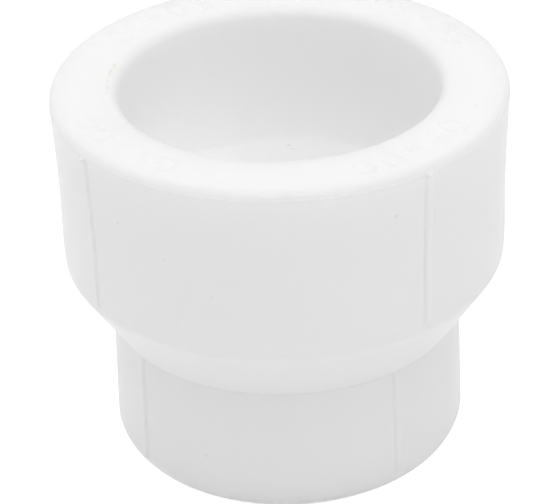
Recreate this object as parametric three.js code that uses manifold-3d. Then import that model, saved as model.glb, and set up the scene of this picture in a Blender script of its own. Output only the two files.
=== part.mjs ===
// A reducing coupling for heat-welded plastic pipe, moulded in one piece, in millimetres.
// It stands on its small end with its axis on +Z: the large socket opens upwards, the small one downwards.
import * as THREE from "three";
import { mergeVertices } from "three/addons/utils/BufferGeometryUtils.js";
import Module from "manifold-3d";

// The large socket takes a 50 mm pipe. Its bore narrows slightly from the mouth to the root, and its outside
// is slightly wider at the open end than at the shoulder.
const LARGE_MOUTH_DIAMETER = 49.2;
const LARGE_SOCKET_TAPER = 0.5;
const LARGE_SOCKET_DEPTH = 23;
const LARGE_WALL = 10.3;
const LARGE_WALL_FLARE = 0.55;
const LARGE_WALL_HEIGHT = 28.4;

// The small socket takes a 40 mm pipe, and is shaped the same way.
const SMALL_MOUTH_DIAMETER = 39.1;
const SMALL_SOCKET_TAPER = 0.5;
const SMALL_SOCKET_DEPTH = 20.5;
const SMALL_WALL = 8.3;
const SMALL_WALL_FLARE = 0.45;
const NECK_HEIGHT = 22;

// Between the sockets the outside narrows in a cone, and a passage leads through the web that stops the pipes.
const SHOULDER_HEIGHT = 10.8;
const SMALL_STOP_WIDTH = 3.8;

// Rounded edges and inner corners. No rounding takes more than its share of the walls that it joins.
const LARGE_EDGE_ROUND = 1.1;
const LARGE_LIP_ROUND = 1.6;
const SMALL_EDGE_ROUND = 4.2;
const SMALL_LIP_ROUND = 1.5;
const SHOULDER_ROUND = 1.8;
const CREASE_ROUND = 0.4;
const ROOT_ROUND = 0.5;
const PASSAGE_ROUND = 0.5;
const MOST_WALL_SHARE = 0.48;

// A fine ring stands out just under the rounded edge of the large end, where parts of the mould meet.
const RING_WIDTH = 0.36;
const RING_RISE = 0.12;
const RING_LAND = 0.05;

// Fine marks run along both outer walls, one above the other, to line up the pipes by.
const MARK_COUNT = 4;
const MARK_WIDTH = 0.7;
const MARK_RISE = 0.3;
const MARK_SUNK = 0.1;
const MARK_SHOULDER_GAP = 0.9;
const MARK_OVERRUN = 0.2;

// How finely the round forms are cut into flats.
const SEGMENTS_AROUND = 72;
const BEAD_SEGMENTS = 4;
const ROUND_STEP = THREE.MathUtils.degToRad(24);

// Heights and radii that follow from the sizes above.
const shoulderTop = NECK_HEIGHT + SHOULDER_HEIGHT;
const height = shoulderTop + LARGE_WALL_HEIGHT;
const largeMouth = LARGE_MOUTH_DIAMETER / 2;
const largeRoot = largeMouth - LARGE_SOCKET_TAPER / 2;
const largeStop = height - LARGE_SOCKET_DEPTH;
const largeOuter = largeMouth + LARGE_WALL;
const shoulder = largeOuter - LARGE_WALL_FLARE;
const smallMouth = SMALL_MOUTH_DIAMETER / 2;
const smallRoot = smallMouth - SMALL_SOCKET_TAPER / 2;
const smallOuter = smallMouth + SMALL_WALL;
const neck = smallOuter - SMALL_WALL_FLARE;
const passage = smallRoot - SMALL_STOP_WIDTH;

// The points on the two outer walls at a height, as radius and height. Each wall is straight.
function largeWallAt(z) {
  return new THREE.Vector2(THREE.MathUtils.mapLinear(z, shoulderTop, height, shoulder, largeOuter), z);
}
function neckWallAt(z) {
  return new THREE.Vector2(THREE.MathUtils.mapLinear(z, 0, NECK_HEIGHT, smallOuter, neck), z);
}

// The points of the arc that rounds a corner between its two neighbours.
function roundedCorner(before, corner, after) {
  const toBefore = before.point.clone().sub(corner.point);
  const toAfter = after.point.clone().sub(corner.point);
  const mostSetback = Math.min(toBefore.length(), toAfter.length()) * MOST_WALL_SHARE;
  toBefore.normalize();
  toAfter.normalize();
  const halfAngle = Math.acos(toBefore.dot(toAfter)) / 2;
  const setback = Math.min(corner.round / Math.tan(halfAngle), mostSetback);
  const start = corner.point.clone().addScaledVector(toBefore, setback);
  const bisector = toBefore.clone().add(toAfter).normalize();
  const centre = corner.point.clone().addScaledVector(bisector, setback / Math.cos(halfAngle));
  const turn = Math.sign(toAfter.cross(toBefore)) * (Math.PI - 2 * halfAngle);
  const steps = Math.ceil(Math.abs(turn) / ROUND_STEP);
  return Array.from({ length: steps + 1 }, (_, i) => start.clone().rotateAround(centre, (turn * i) / steps));
}

// The section's corners as radius, height and rounding: out along the small end, up the outside, in over
// the large end and down through the bore. Each becomes an arc.
const corners = [
  [smallMouth, 0, SMALL_LIP_ROUND],
  [smallOuter, 0, SMALL_EDGE_ROUND],
  [neck, NECK_HEIGHT, CREASE_ROUND],
  [shoulder, shoulderTop, SHOULDER_ROUND],
  [largeOuter, height, LARGE_EDGE_ROUND],
  [largeMouth, height, LARGE_LIP_ROUND],
  [largeRoot, largeStop, ROOT_ROUND],
  [passage, largeStop, PASSAGE_ROUND],
  [passage, SMALL_SOCKET_DEPTH, PASSAGE_ROUND],
  [smallRoot, SMALL_SOCKET_DEPTH, ROOT_ROUND],
].map(([r, z, round]) => ({ point: new THREE.Vector2(r, z), round }));
const [smallLip, smallEdge, crease, shoulderEdge, largeEdge, ...bore] = corners.map((corner, i) =>
  roundedCorner(corners.at(i - 1), corner, corners[(i + 1) % corners.length]),
);

// The ring's bead: half an oval on the wall, just under the arc of the large end's edge.
const ringHeight = largeEdge[0].y - RING_LAND - RING_WIDTH / 2;
const bead = new THREE.EllipseCurve(
  largeWallAt(ringHeight).x,
  ringHeight,
  RING_RISE,
  RING_WIDTH / 2,
  -Math.PI / 2,
  Math.PI / 2,
).getPoints(BEAD_SEGMENTS);

// The section turned once round the Z axis.
function turnedBody() {
  const loop = [smallLip, smallEdge, crease, shoulderEdge, bead, largeEdge, ...bore, smallLip[0]].flat();
  return new THREE.LatheGeometry(loop, SEGMENTS_AROUND).rotateX(Math.PI / 2);
}

// One mark, from its low to its high end along a wall: an oval bar, sunk in the wall by more than half.
function mark(low, high, turnAboutZ) {
  const oval = new THREE.Shape().absellipse(-MARK_SUNK, 0, MARK_RISE + MARK_SUNK, MARK_WIDTH / 2);
  return new THREE.ExtrudeGeometry(oval, {
    depth: low.distanceTo(high),
    curveSegments: BEAD_SEGMENTS,
    bevelEnabled: false,
  })
    .rotateY(Math.atan2(high.x - low.x, high.y - low.y))
    .translate(low.x, 0, low.y)
    .rotateZ(turnAboutZ);
}

// All marks. Those on the large wall run from just above the shoulder up to the ring. Those on the neck run
// from the small end's rounded edge up into the cone, which covers their upper ends.
function marks() {
  const coneHeightPerRadius = SHOULDER_HEIGHT / (shoulder - neck);
  const neckTop = NECK_HEIGHT + MARK_RISE * coneHeightPerRadius + MARK_OVERRUN;
  const runs = [
    [largeWallAt(shoulderTop + MARK_SHOULDER_GAP), largeWallAt(ringHeight)],
    [neckWallAt(SMALL_EDGE_ROUND), neckWallAt(neckTop)],
  ];
  const angles = Array.from({ length: MARK_COUNT }, (_, i) => (2 * Math.PI * i) / MARK_COUNT);
  return angles.flatMap((angle) => runs.map(([low, high]) => mark(low, high, angle)));
}

const wasm = await Module();
wasm.setup();

// A closed three.js geometry as a solid.
function solid(geometry) {
  const bare = geometry.clone();
  bare.deleteAttribute("normal");
  bare.deleteAttribute("uv");
  const merged = mergeVertices(bare);
  return new wasm.Manifold(
    new wasm.Mesh({
      numProp: 3,
      vertProperties: merged.attributes.position.array,
      triVerts: new Uint32Array(merged.index.array),
    }),
  );
}

// A solid as a three.js geometry.
function geometryOf(body) {
  const { vertProperties, triVerts } = body.getMesh();
  const geometry = new THREE.BufferGeometry();
  geometry.setAttribute("position", new THREE.BufferAttribute(vertProperties, 3));
  geometry.setIndex(new THREE.BufferAttribute(triVerts, 1));
  geometry.computeVertexNormals();
  return geometry;
}

// The whole coupling is a single moulding, so the marks are joined to the body.
const moulding = marks().reduce((body, bar) => body.add(solid(bar)), solid(turnedBody()));

const whitePlastic = new THREE.MeshStandardMaterial({ color: 0xf0f0ee, roughness: 0.4, metalness: 0 });
const reducerBody = new THREE.Mesh(geometryOf(moulding), whitePlastic);
reducerBody.name = "reducer_body";

const reducer = new THREE.Group();
reducer.add(reducerBody);

export default reducer;
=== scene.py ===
"""A reducing coupling for heat-welded plastic pipe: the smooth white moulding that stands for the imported
solid, with plain numbers raised on its large end, and a studio stage. Lengths are in metres, and angles
are in radians where nothing else is said."""

import math

import bpy
from bpy.props import FloatProperty, FloatVectorProperty, IntProperty, PointerProperty, StringProperty
from mathutils import Matrix, Quaternion, Vector


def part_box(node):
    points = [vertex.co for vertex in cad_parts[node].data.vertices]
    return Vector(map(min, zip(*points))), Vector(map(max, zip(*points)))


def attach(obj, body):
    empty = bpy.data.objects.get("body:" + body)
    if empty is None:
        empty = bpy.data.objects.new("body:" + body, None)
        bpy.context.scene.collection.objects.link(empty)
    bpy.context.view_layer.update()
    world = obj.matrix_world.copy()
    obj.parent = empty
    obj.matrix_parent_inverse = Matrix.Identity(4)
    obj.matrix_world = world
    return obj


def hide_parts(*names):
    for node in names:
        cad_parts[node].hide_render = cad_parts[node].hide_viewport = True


bl_info = {
    "name": "Reducing Coupling",
    "version": (1, 0, 0),
    "blender": (4, 5, 0),
    "location": "3D View > Sidebar > Coupling",
    "description": "Builds a moulded white reducing coupling and a plain studio stage for it",
    "category": "Add Mesh",
}

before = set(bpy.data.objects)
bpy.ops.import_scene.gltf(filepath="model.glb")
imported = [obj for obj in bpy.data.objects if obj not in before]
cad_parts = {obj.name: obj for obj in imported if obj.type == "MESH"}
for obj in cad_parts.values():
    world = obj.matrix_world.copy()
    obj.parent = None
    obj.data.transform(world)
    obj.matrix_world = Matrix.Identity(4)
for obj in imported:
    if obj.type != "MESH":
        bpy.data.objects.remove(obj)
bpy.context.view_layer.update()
BODY = "root"
NODE = "reducer_body"
MOULDING = "moulding"

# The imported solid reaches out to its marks, which rise this far from its large wall.
TOP_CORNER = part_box(NODE)[1]
PACKED_MARK_RISE = 0.0003


def length(name, description, default):
    """A property for a length."""
    return FloatProperty(
        name=name, description=description, default=default, unit="LENGTH", precision=5, min=0.0
    )


def angle(name, description, degrees):
    """A property for an angle, given in degrees."""
    return FloatProperty(name=name, description=description, default=math.radians(degrees), subtype="ANGLE")


def colour(name, description, default):
    """A property for a colour."""
    return FloatVectorProperty(
        name=name, description=description, default=default, subtype="COLOR", min=0.0, max=1.0
    )


def level(name, description, default):
    """A property for a plain number, such as a strength or a roughness."""
    return FloatProperty(name=name, description=description, default=default, min=0.0, precision=3)


class CouplingSizes(bpy.types.PropertyGroup):
    """The moulding's radii, heights, roundings and fine raised lines."""

    height: length("Height", "From the small end's face up to the large end's face", TOP_CORNER.z)
    outer: length("Large Wall", "Outer radius at the large end", TOP_CORNER.x - PACKED_MARK_RISE)
    shoulder: length("Shoulder", "Outer radius at the top of the cone", 0.03435)
    shoulder_top: length("Shoulder Height", "Height of the top of the cone", 0.0328)
    neck: length("Neck", "Outer radius at the foot of the cone", 0.0274)
    neck_top: length("Neck Height", "Height of the foot of the cone", 0.02215)
    small_outer: length("Small Wall", "Outer radius at the small end", 0.02785)
    large_mouth: length("Large Mouth", "Radius of the large socket at its mouth", 0.0246)
    large_root: length("Large Root", "Radius of the large socket at the pipe stop", 0.02435)
    large_depth: length("Large Depth", "Depth of the large socket", 0.023)
    small_mouth: length("Small Mouth", "Radius of the small socket at its mouth", 0.01955)
    small_root: length("Small Root", "Radius of the small socket at the pipe stop", 0.0193)
    small_depth: length("Small Depth", "Depth of the small socket", 0.0205)
    passage: length("Passage", "Radius of the passage between the sockets", 0.0155)
    large_edge: length("Large Edge Rounding", "Outer edge of the large end", 0.0011)
    large_lip: length("Large Lip Rounding", "Inner edge of the large end", 0.0016)
    small_edge: length("Small Edge Rounding", "Outer edge of the small end", 0.0042)
    small_lip: length("Small Lip Rounding", "Inner edge of the small end", 0.0015)
    shoulder_round: length("Shoulder Rounding", "Edge at the top of the cone", 0.0022)
    crease_round: length("Crease Rounding", "Inner corner at the foot of the cone", 0.00012)
    root_round: length("Root Rounding", "Corners at the pipe stops", 0.0007)
    wall_sink: length("Wall Sink", "How far the middle of the large wall has shrunk in", 0.00011)
    ring_width: length("Ring Width", "Width of the fine ring under the large end's edge", 0.0005)
    ring_rise: length("Ring Rise", "How far the ring stands out", 0.00014)
    ring_land: length("Ring Land", "Wall left between the ring and the rounded edge", 0.00005)
    mark_width: length("Mark Width", "Width of an alignment mark", 0.0012)
    mark_rise: length("Mark Rise", "How far an alignment mark stands out", 0.0004)
    mark_gap: length("Mark Gap", "Wall left between a mark and the shoulder", 0.0009)
    mark_foot: length("Mark Foot", "Height at which the marks on the neck begin", 0.0033)
    mark_fade: length("Mark Fade", "Length over which a mark's ends run out", 0.0004)
    nub_length: length("Nub Length", "Length of the swelling at a mark's upper end", 0.0008)
    nub_rise: length("Nub Rise", "How far the swelling stands out of the mark", 0.0004)
    # Painted shade: the width of the dark lines laid along one flank of each mark and in the crease, where
    # shade falls.
    painted_shade_width: length("Dust Width", "Width of the dust lines at the marks and the crease", 0.00045)


class NumberSizes(bpy.types.PropertyGroup):
    """The plain numbers raised on the large end's face."""

    text: StringProperty(
        name="Numbers", description="What each group reads, from the signs 0, 4, 5 and -", default="50-40"
    )
    size: length("Size", "Height of the digits", 0.0037)
    stroke: length("Stroke", "Full width of the round bars that the digits are made of", 0.00085)
    pitch: length("Pitch", "Distance from one digit to the next along the ring", 0.0044)
    radius: length("Radius", "Radius of the ring that the digits stand on", 0.0303)
    rise: length("Rise", "How far the bars stand out of the face", 0.00011)
    sunk: length("Sunk", "How far the middle of the bars lies under the face", 0.00012)
    count: IntProperty(name="Groups", description="Groups of digits round the ring", default=4, min=1)
    turn: angle("Turn", "Where the first group stands, from -Y towards +X", 4.0)


class FinishColours(bpy.types.PropertyGroup):
    """The white plastic and what lies on it."""

    white: colour("White", "The plastic where it is cleanest", (0.990, 0.982, 0.986))
    cloud: colour("Cloud", "The plastic where it is slightly clouded", (0.982, 0.974, 0.978))
    speck: colour("Speck", "Small inclusions in the skin", (0.88, 0.87, 0.86))
    # Painted shade: a dark colour laid along the marks' shaded flanks and in the crease, and how strongly
    # it shows.
    painted_shade: colour("Dust", "Dust along the marks and in the crease", (0.84, 0.83, 0.83))
    painted_shade_strength: level("Dust Cover", "How thickly the dust lies, up to 1", 0.65)
    scuff: colour("Scuff", "The dirt rubbed into the large lip", (0.78, 0.74, 0.70))
    stain: colour("Stain", "The faint stain round the dirt on the large lip", (0.975, 0.945, 0.920))
    roughness: level("Roughness", "How matt the moulded surface is", 0.5)
    specular: level("Specular", "How strongly the skin mirrors, where 0.5 is the plain strength", 0.15)
    subsurface: level("Translucence", "Share of the light that passes through the plastic's skin", 0.85)
    skin: length("Skin", "How deep the light passes into the plastic", 0.010)


class StageSettings(bpy.types.PropertyGroup):
    """The camera, the floor and the lamps."""

    azimuth: angle("Azimuth", "Where the camera stands round the coupling, from -Y towards +X", -35.55)
    elevation: angle("Elevation", "How far the camera looks down", 30.783)
    roll: angle("Roll", "How far the camera leans", -2.006)
    distance: length("Distance", "From the camera to the point it looks at", 0.41656)
    lens: FloatProperty(
        name="Lens", description="Focal length in millimetres", default=170.1, unit="CAMERA", min=1.0
    )
    floor: colour("Floor", "Colour of the floor", (0.97, 0.97, 0.97))
    floor_size: length("Floor Size", "Side of the square floor", 4.0)
    floor_glow: level("Floor Glow", "Light the floor adds for the eye, so that it shows white", 0.65)
    sky: level("Sky", "Level of the even light from all round", 0.08)
    lamps: level("Lamps", "Level of all lamps together, where 1 is the plain one", 0.98)
    lamp_distance: length("Lamp Distance", "From the coupling to each lamp", 1.2)
    lamp_size: length("Lamp Size", "Side of each square lamp", 1.6)


# How finely the section is cut: the turn from point to point of a rounding, and the steps on each straight
# stretch, up the outside and then down through the bore.
ROUND_STEP = math.radians(7.5)
NECK_STEPS, CONE_STEPS, WALL_STEPS, RING_STEPS = 26, 20, 44, 14
FACE_STEPS, LARGE_BORE_STEPS, STOP_STEPS, PASSAGE_STEPS, SMALL_BORE_STEPS = 5, 12, 4, 8, 10

# How many columns the mesh has from mark to mark, and how strongly they crowd at the marks, up to 1.
COLUMNS_BETWEEN_MARKS = 90
COLUMN_CROWDING = 0.95

# Where each alignment mark stands, in degrees round from -Y towards +X, on the large wall and on the neck,
# and the side of the mark that gets painted shade, the flank that lies in shade: 1 is the side further
# round.
MARKS = ((1.35, 0.85, -1), (90.00, 90.00, 1), (180.00, 180.00, -1), (-91.15, -91.15, 1))
# How square a mark's section is, where 2 is an oval.
MARK_SQUARENESS = 3.0
# The share of the large wall's height over which its sink runs out, above and below.
SINK_FADE = 0.1
# How dark the painted shade in the crease is, against that beside the marks.
CREASE_SHADE = 0.3

# How many swellings to the metre the random patterns of the finish have.
CLOUD_SCALE = 45.0
SHEEN_SCALE = 160.0
STREAK_SCALE = 900.0
DRAG_LINE_SCALE = 900.0
GRAIN_SCALE = 2600.0
# The noise levels between which the clouds and the streaks of dirt fade out.
CLOUD_FADE = (0.35, 0.65)
STREAK_FADE = (0.65, 0.15)
# The drag lines follow the axis, along which the noise is stretched.
DRAG_LINE_STRETCH = (1, 1, 0.03)
# The skin's fine relief: its depth, its strength, and the drag lines' share in it. The rest is grain.
RELIEF_DEPTH = 0.00001
RELIEF_STRENGTH = 0.6
DRAG_LINE_SHARE = 0.6
ROUGHNESS_SPREAD = 0.05
# How strongly polypropylene bends light.
PLASTIC_IOR = 1.49
# The share of a speck's or a rubbed stretch's reach within which it shows in full.
SPECK_CORE = 0.4
SCUFF_CORE = 0.5

# The rubbed stretches of the large lip: degrees round, the radius, half the length, half the width of the
# dirt and of the stain round it, and how strongly it shows, up to 1.
SCUFFS = (
    (-137, 0.0261, 0.0030, 0.00045, 0.0012, 1.0),
    (-130, 0.0261, 0.0062, 0.00040, 0.0005, 0.5),
)

# The point that the camera looks at, and the nearest distance that it sees.
LOOKED_AT = Vector((-0.00062, 0.00045, 0.03078))
NEAREST_SEEN = 0.01

# Each lamp's name, degrees round from the camera's line of sight, degrees up, and watts.
LAMPS = (
    ("lamp_back_left", -120, 38, 5.9),
    ("lamp_back_right", 150, 38, 3.4),
    ("lamp_left", -90, 58, 2.4),
    ("lamp_front", -30, 43, 4.1),
    ("lamp_right", 60, 58, 10.5),
)

# Specks in the walls' skin: degrees round from -Y towards +X, height and radius.
WALL_SPECKS = (
    (-8, 0.0544, 0.00046),
    (-100, 0.0490, 0.00034),
    (-80, 0.0514, 0.00028),
    (-66, 0.0478, 0.00034),
    (-54, 0.0430, 0.00025),
    (-64, 0.0093, 0.00030),
    (62, 0.0505, 0.00034),
    (118, 0.0415, 0.00040),
    (171, 0.0560, 0.00028),
    (-148, 0.0120, 0.00034),
    (95, 0.0150, 0.00028),
)
# Specks on the flat faces: degrees round, radius of their place, height and radius.
FACE_SPECKS = (
    (141, 0.0215, 0.0382, 0.00050),
    (139, 0.0202, 0.0382, 0.00034),
    (-124, 0.0259, 0.0611, 0.00042),
    (34, 0.0310, 0.0612, 0.00030),
    (-128, 0.0272, 0.0612, 0.00020),
    (-152, 0.0322, 0.0612, 0.00022),
)


def rounded(corners, index, radius):
    """The rounding of one corner of a closed outline, from the stretch before it to the one after it."""
    corner = corners[index]
    to_before = (corners[index - 1] - corner).normalized()
    to_after = (corners[(index + 1) % len(corners)] - corner).normalized()
    half_angle = to_before.angle(to_after) / 2
    setback = radius / math.tan(half_angle)
    centre = corner + (to_before + to_after).normalized() * setback / math.cos(half_angle)
    start = corner + to_before * setback - centre
    turn = math.copysign(math.pi - 2 * half_angle, to_after.cross(to_before))
    steps = math.ceil(abs(turn) / ROUND_STEP)
    return [centre + Matrix.Rotation(turn * i / steps, 2) @ start for i in range(steps + 1)]


def stretch(start, end, count):
    """Points between two ends of a straight stretch, closer together near its ends."""
    shares = [(1 - math.cos(math.pi * i / count)) / 2 for i in range(1, count)]
    return [start.lerp(end, share) for share in shares]


def section(sizes):
    """Half of the coupling's section as a closed loop of (radius, height): out along the small end, up the
    outside, in over the large end and down through the bore. Also says how many points lie outside."""
    large_stop = sizes.height - sizes.large_depth
    corners_and_rounds = [
        ((sizes.small_mouth, 0), sizes.small_lip),
        ((sizes.small_outer, 0), sizes.small_edge),
        ((sizes.neck, sizes.neck_top), sizes.crease_round),
        ((sizes.shoulder, sizes.shoulder_top), sizes.shoulder_round),
        ((sizes.outer, sizes.height), sizes.large_edge),
        ((sizes.large_mouth, sizes.height), sizes.large_lip),
        ((sizes.large_root, large_stop), sizes.root_round),
        ((sizes.passage, large_stop), sizes.root_round),
        ((sizes.passage, sizes.small_depth), sizes.root_round),
        ((sizes.small_root, sizes.small_depth), sizes.root_round),
    ]
    corners = [Vector(corner) for corner, _ in corners_and_rounds]
    arcs = [rounded(corners, i, radius) for i, (_, radius) in enumerate(corners_and_rounds)]
    small_lip, small_edge, crease, shoulder, large_edge, large_lip, *bore = arcs
    large_root, passage_top, passage_foot, small_root = bore

    wall_start, wall_end = shoulder[-1], large_edge[0]
    ring_reach = 2 * sizes.ring_land + sizes.ring_width
    ring_foot = wall_end.lerp(wall_start, ring_reach / (wall_end - wall_start).length)
    outside = [
        *small_edge,
        *stretch(small_edge[-1], crease[0], NECK_STEPS),
        *crease,
        *stretch(crease[-1], shoulder[0], CONE_STEPS),
        *shoulder,
        *stretch(wall_start, ring_foot, WALL_STEPS),
        *(ring_foot.lerp(wall_end, i / RING_STEPS) for i in range(RING_STEPS)),
        *large_edge,
    ]
    inside = [
        *stretch(large_edge[-1], large_lip[0], FACE_STEPS),
        *large_lip,
        *stretch(large_lip[-1], large_root[0], LARGE_BORE_STEPS),
        *large_root,
        *stretch(large_root[-1], passage_top[0], STOP_STEPS),
        *passage_top,
        *stretch(passage_top[-1], passage_foot[0], PASSAGE_STEPS),
        *passage_foot,
        *small_root,
        *stretch(small_root[-1], small_lip[0], SMALL_BORE_STEPS),
        *small_lip,
    ]
    return outside + inside, len(outside)


def swell(distance, half_width, squareness=2.0):
    """The cross-section of a raised line: 1 on its middle, falling in an oval or a squarer curve to 0."""
    return max(0.0, 1 - abs(distance / half_width) ** squareness) ** (1 / squareness)


def between(value, low, high, fade):
    """1 between two limits and 0 beyond them, with an even run-out inside each limit."""
    reach = min(1.0, max(0.0, min(value - low, high - value) / fade))
    return reach * reach * (3 - 2 * reach)


def columns():
    """The turns of the mesh's columns, crowded at the marks."""
    found = []
    for mark, (turn, *_) in enumerate(MARKS):
        apart = (MARKS[(mark + 1) % len(MARKS)][0] - turn) % 360
        for i in range(COLUMNS_BETWEEN_MARKS):
            share = i / COLUMNS_BETWEEN_MARKS
            crowded = share - COLUMN_CROWDING * math.sin(math.tau * share) / math.tau
            found.append(math.radians(turn + apart * crowded))
    return found


def from_nearest(turn, mark_turns):
    """The angle between a column and the nearest mark, above 0 on the side where the mark's painted shade
    lies.
    """
    offsets = [
        side * math.remainder(turn - math.radians(mark), math.tau)
        for mark, (*_, side) in zip(mark_turns, MARKS)
    ]
    return min(offsets, key=abs)


def wall_radius(sizes, height):
    """The plain outer radius of the large wall or, below the shoulder, of the neck and its line upwards."""
    if height > sizes.shoulder_top:
        up = (height - sizes.shoulder_top) / (sizes.height - sizes.shoulder_top)
        return sizes.shoulder + up * (sizes.outer - sizes.shoulder)
    return sizes.small_outer + height / sizes.neck_top * (sizes.neck - sizes.small_outer)


def relief(sizes, point, from_large, from_neck):
    """How far the outer surface stands out of its plain section at a point: the sunk wall, the ring and the
    marks. Also says how much painted shade lies there, from 0 to 1: a dark line along one flank of each
    mark, and in the crease."""
    radius, height = point
    half_shade = sizes.painted_shade_width / 2
    half_mark = sizes.mark_width / 2
    if height > sizes.shoulder_top:
        up_wall = (height - sizes.shoulder_top) / (sizes.height - sizes.shoulder_top)
        sink = sizes.wall_sink * math.cos(math.tau * up_wall) * between(up_wall, 0, 1, SINK_FADE)
        ring_middle = sizes.height - sizes.large_edge - 2 * sizes.ring_land - sizes.ring_width / 2
        ring_top = ring_middle + sizes.ring_width / 2
        ring = sizes.ring_rise * swell(height - ring_middle, sizes.ring_width / 2)
        nub = sizes.nub_rise * swell(height - ring_top + sizes.nub_length / 2, sizes.nub_length / 2)
        held = between(height, sizes.shoulder_top + sizes.mark_gap, ring_top, sizes.mark_fade)
        off_mark = from_large * radius
        mark = (sizes.mark_rise + nub) * held * swell(off_mark, half_mark, MARK_SQUARENESS)
        # The second value is painted shade: a dark line along the mark's flank on its shaded side.
        return sink + max(ring, mark), held * swell(off_mark - half_mark, half_shade)
    off_mark = from_neck * radius
    held = between(height, sizes.mark_foot, sizes.shoulder_top, sizes.mark_fade)
    mark = sizes.mark_rise * swell(off_mark, half_mark, MARK_SQUARENESS)
    stands = wall_radius(sizes, height) + mark - radius
    # Painted shade along the shaded flank of each mark on the neck.
    by_mark = swell(off_mark - half_mark, half_shade) if height < sizes.neck_top else 0.0
    # Painted shade in the crease, where the cone meets the neck.
    by_crease = CREASE_SHADE * swell(height - sizes.neck_top, half_shade)
    return held * max(0.0, stands), max(held * by_mark, by_crease)


def moulding_mesh(sizes):
    """The whole moulding as a closed mesh, with the share of painted shade on each of its points."""
    loop, outside_count = section(sizes)
    around = columns()
    points, painted_shade = [], []
    for turn in around:
        from_large, from_neck = (from_nearest(turn, [mark[wall] for mark in MARKS]) for wall in (0, 1))
        for i, point in enumerate(loop):
            rise, shaded = relief(sizes, point, from_large, from_neck) if i < outside_count else (0, 0)
            points.append(ring_place(turn, point.x + rise, point.y))
            painted_shade.append(shaded)
    rows = len(loop)
    faces = []
    for column in range(len(around)):
        here = column * rows
        ahead = (column + 1) % len(around) * rows
        for row in range(rows):
            up = (row + 1) % rows
            faces.append((here + row, ahead + row, ahead + up, here + up))
    mesh = bpy.data.meshes.new(MOULDING)
    mesh.from_pydata(points, [], faces)
    if mesh.validate():
        raise RuntimeError("the moulding's outline crosses itself")
    # Each point's share of painted shade, which the material reads.
    mesh.attributes.new("painted_shade", "FLOAT", "POINT").data.foreach_set("value", painted_shade)
    return mesh


def add_node(tree, kind, inputs=None, **settings):
    """A shader node with its settings, each input given as a value or as the socket that feeds it."""
    node = tree.nodes.new(kind)
    for name, value in settings.items():
        setattr(node, name, value)
    for name, value in (inputs or {}).items():
        if isinstance(value, bpy.types.NodeSocket):
            tree.links.new(value, node.inputs[name])
        else:
            node.inputs[name].default_value = value
    return node


def maths(tree, operation, *values):
    """The result of a sum on shader values."""
    return add_node(tree, "ShaderNodeMath", dict(enumerate(values)), operation=operation).outputs[0]


def noise(tree, place, scale, detail=2.0):
    """Smooth random values from 0 to 1, with so many swellings to the metre."""
    inputs = {"Vector": place, "Scale": scale, "Detail": detail}
    return add_node(tree, "ShaderNodeTexNoise", inputs).outputs[0]


def fall(tree, distance, full, none):
    """1 up to a distance and 0 from a larger one on, with an even fall between them."""
    inputs = {"Value": distance, "From Min": full, "From Max": none, "To Min": 1.0, "To Max": 0.0}
    return add_node(tree, "ShaderNodeMapRange", inputs, interpolation_type="SMOOTHSTEP").outputs[0]


def mixed(tree, share, first, second):
    """A blend of two colours, each a colour or a socket."""
    plain = [(*c, 1) if not isinstance(c, bpy.types.NodeSocket) else c for c in (first, second)]
    node = add_node(tree, "ShaderNodeMix", data_type="RGBA")
    for socket, value in ((node.inputs[0], share), (node.inputs[6], plain[0]), (node.inputs[7], plain[1])):
        if isinstance(value, bpy.types.NodeSocket):
            tree.links.new(value, socket)
        else:
            socket.default_value = value
    return node.outputs[2]


def ring_place(turn, radius, height):
    """A point by its turn round from -Y towards +X, its radius and its height."""
    return (radius * math.sin(turn), -radius * math.cos(turn), height)


def speck_mask(tree, place, sizes):
    """1 on the specks and 0 elsewhere."""
    specks = [(turn, wall_radius(sizes, height), height, size) for turn, height, size in WALL_SPECKS]
    mask = 0.0
    for turn, radius, height, size in [*specks, *FACE_SPECKS]:
        middle = ring_place(math.radians(turn), radius, height)
        distance = add_node(tree, "ShaderNodeVectorMath", {0: place, 1: middle}, operation="DISTANCE")
        mask = maths(tree, "MAXIMUM", mask, fall(tree, distance.outputs["Value"], size * SPECK_CORE, size))
    return mask


def scuffed(tree, place, sizes, skin, colours):
    """The skin's colour with the large lip's rubbed stretches: streaky lines of dirt in wider stains."""
    flat = add_node(tree, "ShaderNodeVectorMath", {0: place, 1: (1, 1, 0)}, operation="MULTIPLY").outputs[0]
    radius = add_node(tree, "ShaderNodeVectorMath", {0: flat}, operation="LENGTH").outputs["Value"]
    streaks = fall(tree, noise(tree, place, STREAK_SCALE), *STREAK_FADE)
    for turn, line, half_length, half_dirt, half_stain, cover in SCUFFS:
        middle = ring_place(math.radians(turn), line, sizes.height)
        off_middle = add_node(tree, "ShaderNodeVectorMath", {0: place, 1: middle}, operation="DISTANCE")
        near = fall(tree, off_middle.outputs["Value"], half_length * SCUFF_CORE, half_length)
        along = maths(tree, "MULTIPLY", cover, near)
        off_line = maths(tree, "ABSOLUTE", maths(tree, "SUBTRACT", radius, line))
        stain = maths(tree, "MULTIPLY", along, fall(tree, off_line, half_dirt, half_stain))
        streaky = maths(tree, "MULTIPLY", along, streaks)
        dirt = maths(tree, "MULTIPLY", streaky, fall(tree, off_line, 0.0, half_dirt))
        skin = mixed(tree, dirt, mixed(tree, stain, skin, colours.stain), colours.scuff)
    return skin


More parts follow.
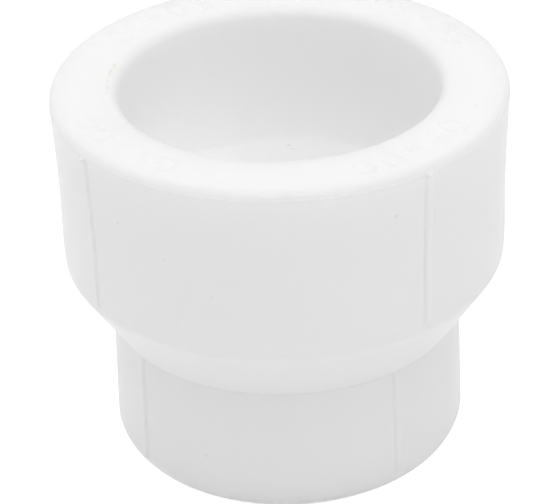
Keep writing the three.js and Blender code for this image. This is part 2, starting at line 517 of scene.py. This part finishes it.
def white_plastic(sizes, colours):
    """Moulded white polypropylene: satin and translucent, with faint clouds, drag lines and specks."""
    material = bpy.data.materials.new("moulded_white")
    material.use_nodes = True
    tree = material.node_tree
    place = add_node(tree, "ShaderNodeTexCoord").outputs["Object"]
    clouds = fall(tree, noise(tree, place, CLOUD_SCALE, 3.0), *CLOUD_FADE)
    skin = mixed(tree, clouds, colours.white, colours.cloud)
    specked = mixed(tree, speck_mask(tree, place, sizes), skin, colours.speck)
    rubbed = scuffed(tree, place, sizes, specked, colours)
    # Painted shade: a darker colour on the marks' shaded flanks and in the crease.
    painted_shade = add_node(tree, "ShaderNodeAttribute", attribute_name="painted_shade").outputs["Fac"]
    shaded = mixed(tree, maths(tree, "MULTIPLY", painted_shade, colours.painted_shade_strength), rubbed, colours.painted_shade)

    stretched = {0: place, 1: DRAG_LINE_STRETCH}
    drawn = add_node(tree, "ShaderNodeVectorMath", stretched, operation="MULTIPLY").outputs[0]
    drag_lines = maths(tree, "MULTIPLY", noise(tree, drawn, DRAG_LINE_SCALE), DRAG_LINE_SHARE)
    grain = maths(tree, "MULTIPLY", noise(tree, place, GRAIN_SCALE), 1 - DRAG_LINE_SHARE)
    fine_relief = {
        "Height": maths(tree, "ADD", drag_lines, grain),
        "Distance": RELIEF_DEPTH,
        "Strength": RELIEF_STRENGTH,
    }
    bump = add_node(tree, "ShaderNodeBump", fine_relief)
    sheen = {
        "Value": noise(tree, place, SHEEN_SCALE, 3.0),
        "To Min": colours.roughness - ROUGHNESS_SPREAD,
        "To Max": colours.roughness + ROUGHNESS_SPREAD,
    }
    patchy = add_node(tree, "ShaderNodeMapRange", sheen)
    plastic = tree.nodes["Principled BSDF"]
    tree.links.new(shaded, plastic.inputs["Base Color"])
    tree.links.new(patchy.outputs[0], plastic.inputs["Roughness"])
    tree.links.new(bump.outputs[0], plastic.inputs["Normal"])
    plastic.inputs["IOR"].default_value = PLASTIC_IOR
    plastic.inputs["Specular IOR Level"].default_value = colours.specular
    plastic.inputs["Subsurface Weight"].default_value = colours.subsurface
    plastic.inputs["Subsurface Radius"].default_value = (1.0, 1.0, 1.0)
    plastic.inputs["Subsurface Scale"].default_value = colours.skin
    return material


class COUPLING_OT_moulding(bpy.types.Operator):
    """Builds the coupling's moulding, with its ring and alignment marks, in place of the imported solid"""

    bl_idname = "coupling.moulding"
    bl_label = "Moulding"

    def execute(self, context):
        sizes = context.scene.coupling_sizes
        mesh = moulding_mesh(sizes)
        mesh.materials.append(white_plastic(sizes, context.scene.coupling_finish))
        mesh.shade_smooth()
        moulding = bpy.data.objects.new(MOULDING, mesh)
        context.scene.collection.objects.link(moulding)
        moulding.modifiers.new("Face Normals", "WEIGHTED_NORMAL").keep_sharp = True
        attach(moulding, BODY)
        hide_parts(NODE)
        return {"FINISHED"}


# The turn from point to point of a curved stroke.
ARC_STEP = math.radians(15)


def arc(middle, half_width, half_height, start, end):
    """Points along part of an oval, from one angle in degrees to another."""
    first, turn = math.radians(start), math.radians(end - start)
    steps = math.ceil(abs(turn) / ARC_STEP)
    angles = [first + turn * i / steps for i in range(steps + 1)]
    return [(middle[0] + half_width * math.cos(a), middle[1] + half_height * math.sin(a)) for a in angles]


# The strokes of each sign, in a box that is 1 high and has its middle at 0. A closed stroke ends where it
# begins.
STROKES = {
    "0": [arc((0, 0), 0.40, 0.50, 90, 450)],
    "4": [[(0.18, -0.50), (0.18, 0.50)], [(0.16, 0.46), (-0.40, -0.22)], [(-0.36, -0.19), (0.40, -0.19)]],
    "5": [
        [(0.34, 0.50), (-0.25, 0.50)],
        [(-0.27, 0.47), (-0.31, 0.07)],
        arc((-0.03, -0.18), 0.38, 0.32, 142, -145),
    ],
    "-": [[(-0.25, 0.00), (0.25, 0.00)]],
}
# How much deeper each sign's next stroke lies, so that no two strokes meet flush.
STROKE_STEP = 0.000003
# The angles at which a stroke's round end has points, from its tip.
ROUND_END = [math.radians(degrees) for degrees in (12, 40, 65)]
# How finely the bars are rounded across.
BAR_ROUNDNESS = 2


class COUPLING_OT_numbers(bpy.types.Operator):
    """Raises plain numbers on the large end's face, in groups that are read from outside"""

    bl_idname = "coupling.numbers"
    bl_label = "Numbers"

    def execute(self, context):
        numbers = context.scene.coupling_numbers
        face_height = context.scene.coupling_sizes.height
        moulding = bpy.data.objects[MOULDING]
        for layer in range(max(len(STROKES[sign]) for sign in numbers.text)):
            bars = layer_of_bars(context, numbers, layer)
            lift = face_height - numbers.sunk - layer * STROKE_STEP
            bars.transform(Matrix.Translation((0, 0, lift)))
            join(context, moulding, bars)
        return {"FINISHED"}


def layer_of_bars(context, numbers, layer):
    """Flattened round bars along one stroke of every sign that has so many. No two of them meet."""
    path = bpy.data.curves.new("bars", "CURVE")
    path.dimensions = "3D"
    path.bevel_depth = numbers.stroke / 2
    path.bevel_resolution = BAR_ROUNDNESS
    path.use_fill_caps = True
    for group in range(numbers.count):
        middle = numbers.turn + math.tau * group / numbers.count
        for i, sign in enumerate(numbers.text):
            if layer < len(STROKES[sign]):
                turn = middle + (i - (len(numbers.text) - 1) / 2) * numbers.pitch / numbers.radius
                foot = Vector(ring_place(turn, numbers.radius, 0))
                place = Matrix.Translation(foot) @ Matrix.Rotation(turn, 4, "Z")
                points = [place @ (Vector((x, y, 0)) * numbers.size) for x, y in STROKES[sign][layer]]
                add_bar(path, points, numbers.stroke / 2)
    holder = bpy.data.objects.new("bars", path)
    context.scene.collection.objects.link(holder)
    seen = holder.evaluated_get(context.evaluated_depsgraph_get())
    bars = bpy.data.meshes.new_from_object(seen)
    flatness = 2 * (numbers.rise + numbers.sunk) / numbers.stroke
    bars.transform(Matrix.Scale(flatness, 4, (0, 0, 1)))
    bpy.data.objects.remove(holder)
    bpy.data.curves.remove(path)
    return bars


def add_bar(path, points, reach):
    """One bar along a stroke. Where the stroke is open, the bar is rounded beyond both its ends."""
    closed = (points[0] - points[-1]).length < reach / 10
    rows = [(point, 1.0) for point in points[1:]]
    if not closed:
        before = [rounded_end(points[0], points[1], reach, angle) for angle in ROUND_END]
        after = [rounded_end(points[-1], points[-2], reach, angle) for angle in reversed(ROUND_END)]
        rows = [*before, (points[0], 1.0), *rows, *after]
    spline = path.splines.new("POLY")
    spline.use_cyclic_u = closed
    spline.points.add(len(rows) - 1)
    for point, (place, width) in zip(spline.points, rows):
        point.co = (*place, 1)
        point.radius = width


def rounded_end(end, inner, reach, angle):
    """A point beyond the end of a stroke, and its share there of the bar's full width."""
    outwards = (end - inner).normalized() * reach
    return end + outwards * math.cos(angle), math.sin(angle)


def join(context, piece, added):
    """Joins closed solids to a piece, so that they share its skin and its finish."""
    holder = bpy.data.objects.new("added", added)
    context.scene.collection.objects.link(holder)
    union = piece.modifiers.new("Join", "BOOLEAN")
    union.operation = "UNION"
    union.solver = "EXACT"
    union.object = holder
    piece.modifiers.move(len(piece.modifiers) - 1, 0)
    with context.temp_override(object=piece):
        bpy.ops.object.modifier_apply(modifier=union.name)
    bpy.data.objects.remove(holder)
    bpy.data.meshes.remove(added)


class COUPLING_OT_stage(bpy.types.Operator):
    """Builds the floor, the lamps, the sky and the camera"""

    bl_idname = "coupling.stage"
    bl_label = "Stage"

    def execute(self, context):
        stage = context.scene.coupling_stage
        build_floor(context.scene, stage)
        build_sky(context.scene, stage)
        build_lamps(context.scene, stage)
        build_camera(context.scene, stage)
        context.scene.view_settings.view_transform = "Standard"
        return {"FINISHED"}


def for_the_eye(tree):
    """1 for what is seen straight, in a gloss or through glass, and 0 for light falling on matt things."""
    path = add_node(tree, "ShaderNodeLightPath").outputs
    seen = maths(tree, "MAXIMUM", path["Is Camera Ray"], path["Is Glossy Ray"])
    return maths(tree, "MAXIMUM", seen, path["Is Transmission Ray"])


def build_floor(scene, stage):
    """A plain white floor that keeps the coupling's shadow."""
    material = bpy.data.materials.new("white_floor")
    material.use_nodes = True
    tree = material.node_tree
    tree.nodes.clear()
    matt = add_node(tree, "ShaderNodeBsdfDiffuse", {"Color": (*stage.floor, 1)})
    strength = maths(tree, "MULTIPLY", for_the_eye(tree), stage.floor_glow)
    glow = add_node(tree, "ShaderNodeEmission", {"Strength": strength})
    both = add_node(tree, "ShaderNodeAddShader", {0: matt.outputs[0], 1: glow.outputs[0]})
    clear = add_node(tree, "ShaderNodeBsdfTransparent")
    behind = add_node(tree, "ShaderNodeNewGeometry").outputs["Backfacing"]
    one_sided = add_node(tree, "ShaderNodeMixShader", {0: behind, 1: both.outputs[0], 2: clear.outputs[0]})
    add_node(tree, "ShaderNodeOutputMaterial", {"Surface": one_sided.outputs[0]})
    mesh = bpy.data.meshes.new("floor")
    half = stage.floor_size / 2
    corners = [(-half, -half, 0), (half, -half, 0), (half, half, 0), (-half, half, 0)]
    mesh.from_pydata(corners, [], [(0, 1, 2, 3)])
    mesh.materials.append(material)
    floor = bpy.data.objects.new("floor", mesh)
    scene.collection.objects.link(floor)


def build_sky(scene, stage):
    """Even white light from all round, which shows as plain white."""
    world = bpy.data.worlds.new("white_sky")
    world.use_nodes = True
    tree = world.node_tree
    tree.nodes.clear()
    inputs = {"Value": for_the_eye(tree), "To Min": stage.sky, "To Max": 1.0}
    strength = add_node(tree, "ShaderNodeMapRange", inputs).outputs[0]
    sky = add_node(tree, "ShaderNodeBackground", {"Color": (1, 1, 1, 1), "Strength": strength})
    add_node(tree, "ShaderNodeOutputWorld", {"Surface": sky.outputs[0]})
    scene.world = world


def direction(azimuth, elevation):
    """The way from the coupling to what stands at an azimuth, from -Y towards +X, and an elevation."""
    return Vector(
        (
            math.sin(azimuth) * math.cos(elevation),
            -math.cos(azimuth) * math.cos(elevation),
            math.sin(elevation),
        )
    )


def build_lamps(scene, stage):
    """Large soft lamps all round, which the camera doesn't see."""
    for name, around, up, watts in LAMPS:
        towards = direction(stage.azimuth + math.radians(around), math.radians(up))
        lamp = bpy.data.lights.new(name, "AREA")
        lamp.shape = "SQUARE"
        lamp.size = stage.lamp_size
        lamp.energy = watts * stage.lamps
        holder = bpy.data.objects.new(name, lamp)
        holder.location = towards * stage.lamp_distance
        holder.rotation_euler = (-towards).to_track_quat("-Z", "Y").to_euler()
        holder.visible_camera = False
        scene.collection.objects.link(holder)


def build_camera(scene, stage):
    """The camera at the photograph's viewing angle."""
    data = bpy.data.cameras.new("camera")
    data.lens = stage.lens
    data.clip_start = NEAREST_SEEN
    camera = bpy.data.objects.new("camera", data)
    towards = direction(stage.azimuth, stage.elevation)
    camera.location = LOOKED_AT + towards * stage.distance
    camera.rotation_mode = "QUATERNION"
    lean = Quaternion((0, 0, 1), stage.roll)
    camera.rotation_quaternion = (-towards).to_track_quat("-Z", "Y") @ lean
    scene.collection.objects.link(camera)
    scene.camera = camera


class COUPLING_PT_panel(bpy.types.Panel):
    """Lists the coupling's builders and their settings"""

    bl_label = "Reducing Coupling"
    bl_idname = "COUPLING_PT_panel"
    bl_space_type = "VIEW_3D"
    bl_region_type = "UI"
    bl_category = "Coupling"

    def draw(self, context):
        for builder in BUILDERS:
            self.layout.operator(builder.bl_idname)
        for name, group in SETTINGS.items():
            box = self.layout.box()
            for prop in group.__annotations__:
                box.prop(getattr(context.scene, name), prop)


BUILDERS = (COUPLING_OT_moulding, COUPLING_OT_numbers, COUPLING_OT_stage)
SETTINGS = {
    "coupling_sizes": CouplingSizes,
    "coupling_numbers": NumberSizes,
    "coupling_finish": FinishColours,
    "coupling_stage": StageSettings,
}
CLASSES = (*SETTINGS.values(), *BUILDERS, COUPLING_PT_panel)


def register():
    """Makes the settings, builders and panel known to Blender."""
    for cls in CLASSES:
        bpy.utils.register_class(cls)
    for name, group in SETTINGS.items():
        setattr(bpy.types.Scene, name, PointerProperty(type=group))


def unregister():
    """Takes them away again."""
    for name in SETTINGS:
        delattr(bpy.types.Scene, name)
    for cls in reversed(CLASSES):
        bpy.utils.unregister_class(cls)


def main():
    """Builds everything."""
    register()
    bpy.ops.coupling.moulding()
    bpy.ops.coupling.numbers()
    bpy.ops.coupling.stage()


if __name__ == "__main__":
    main()
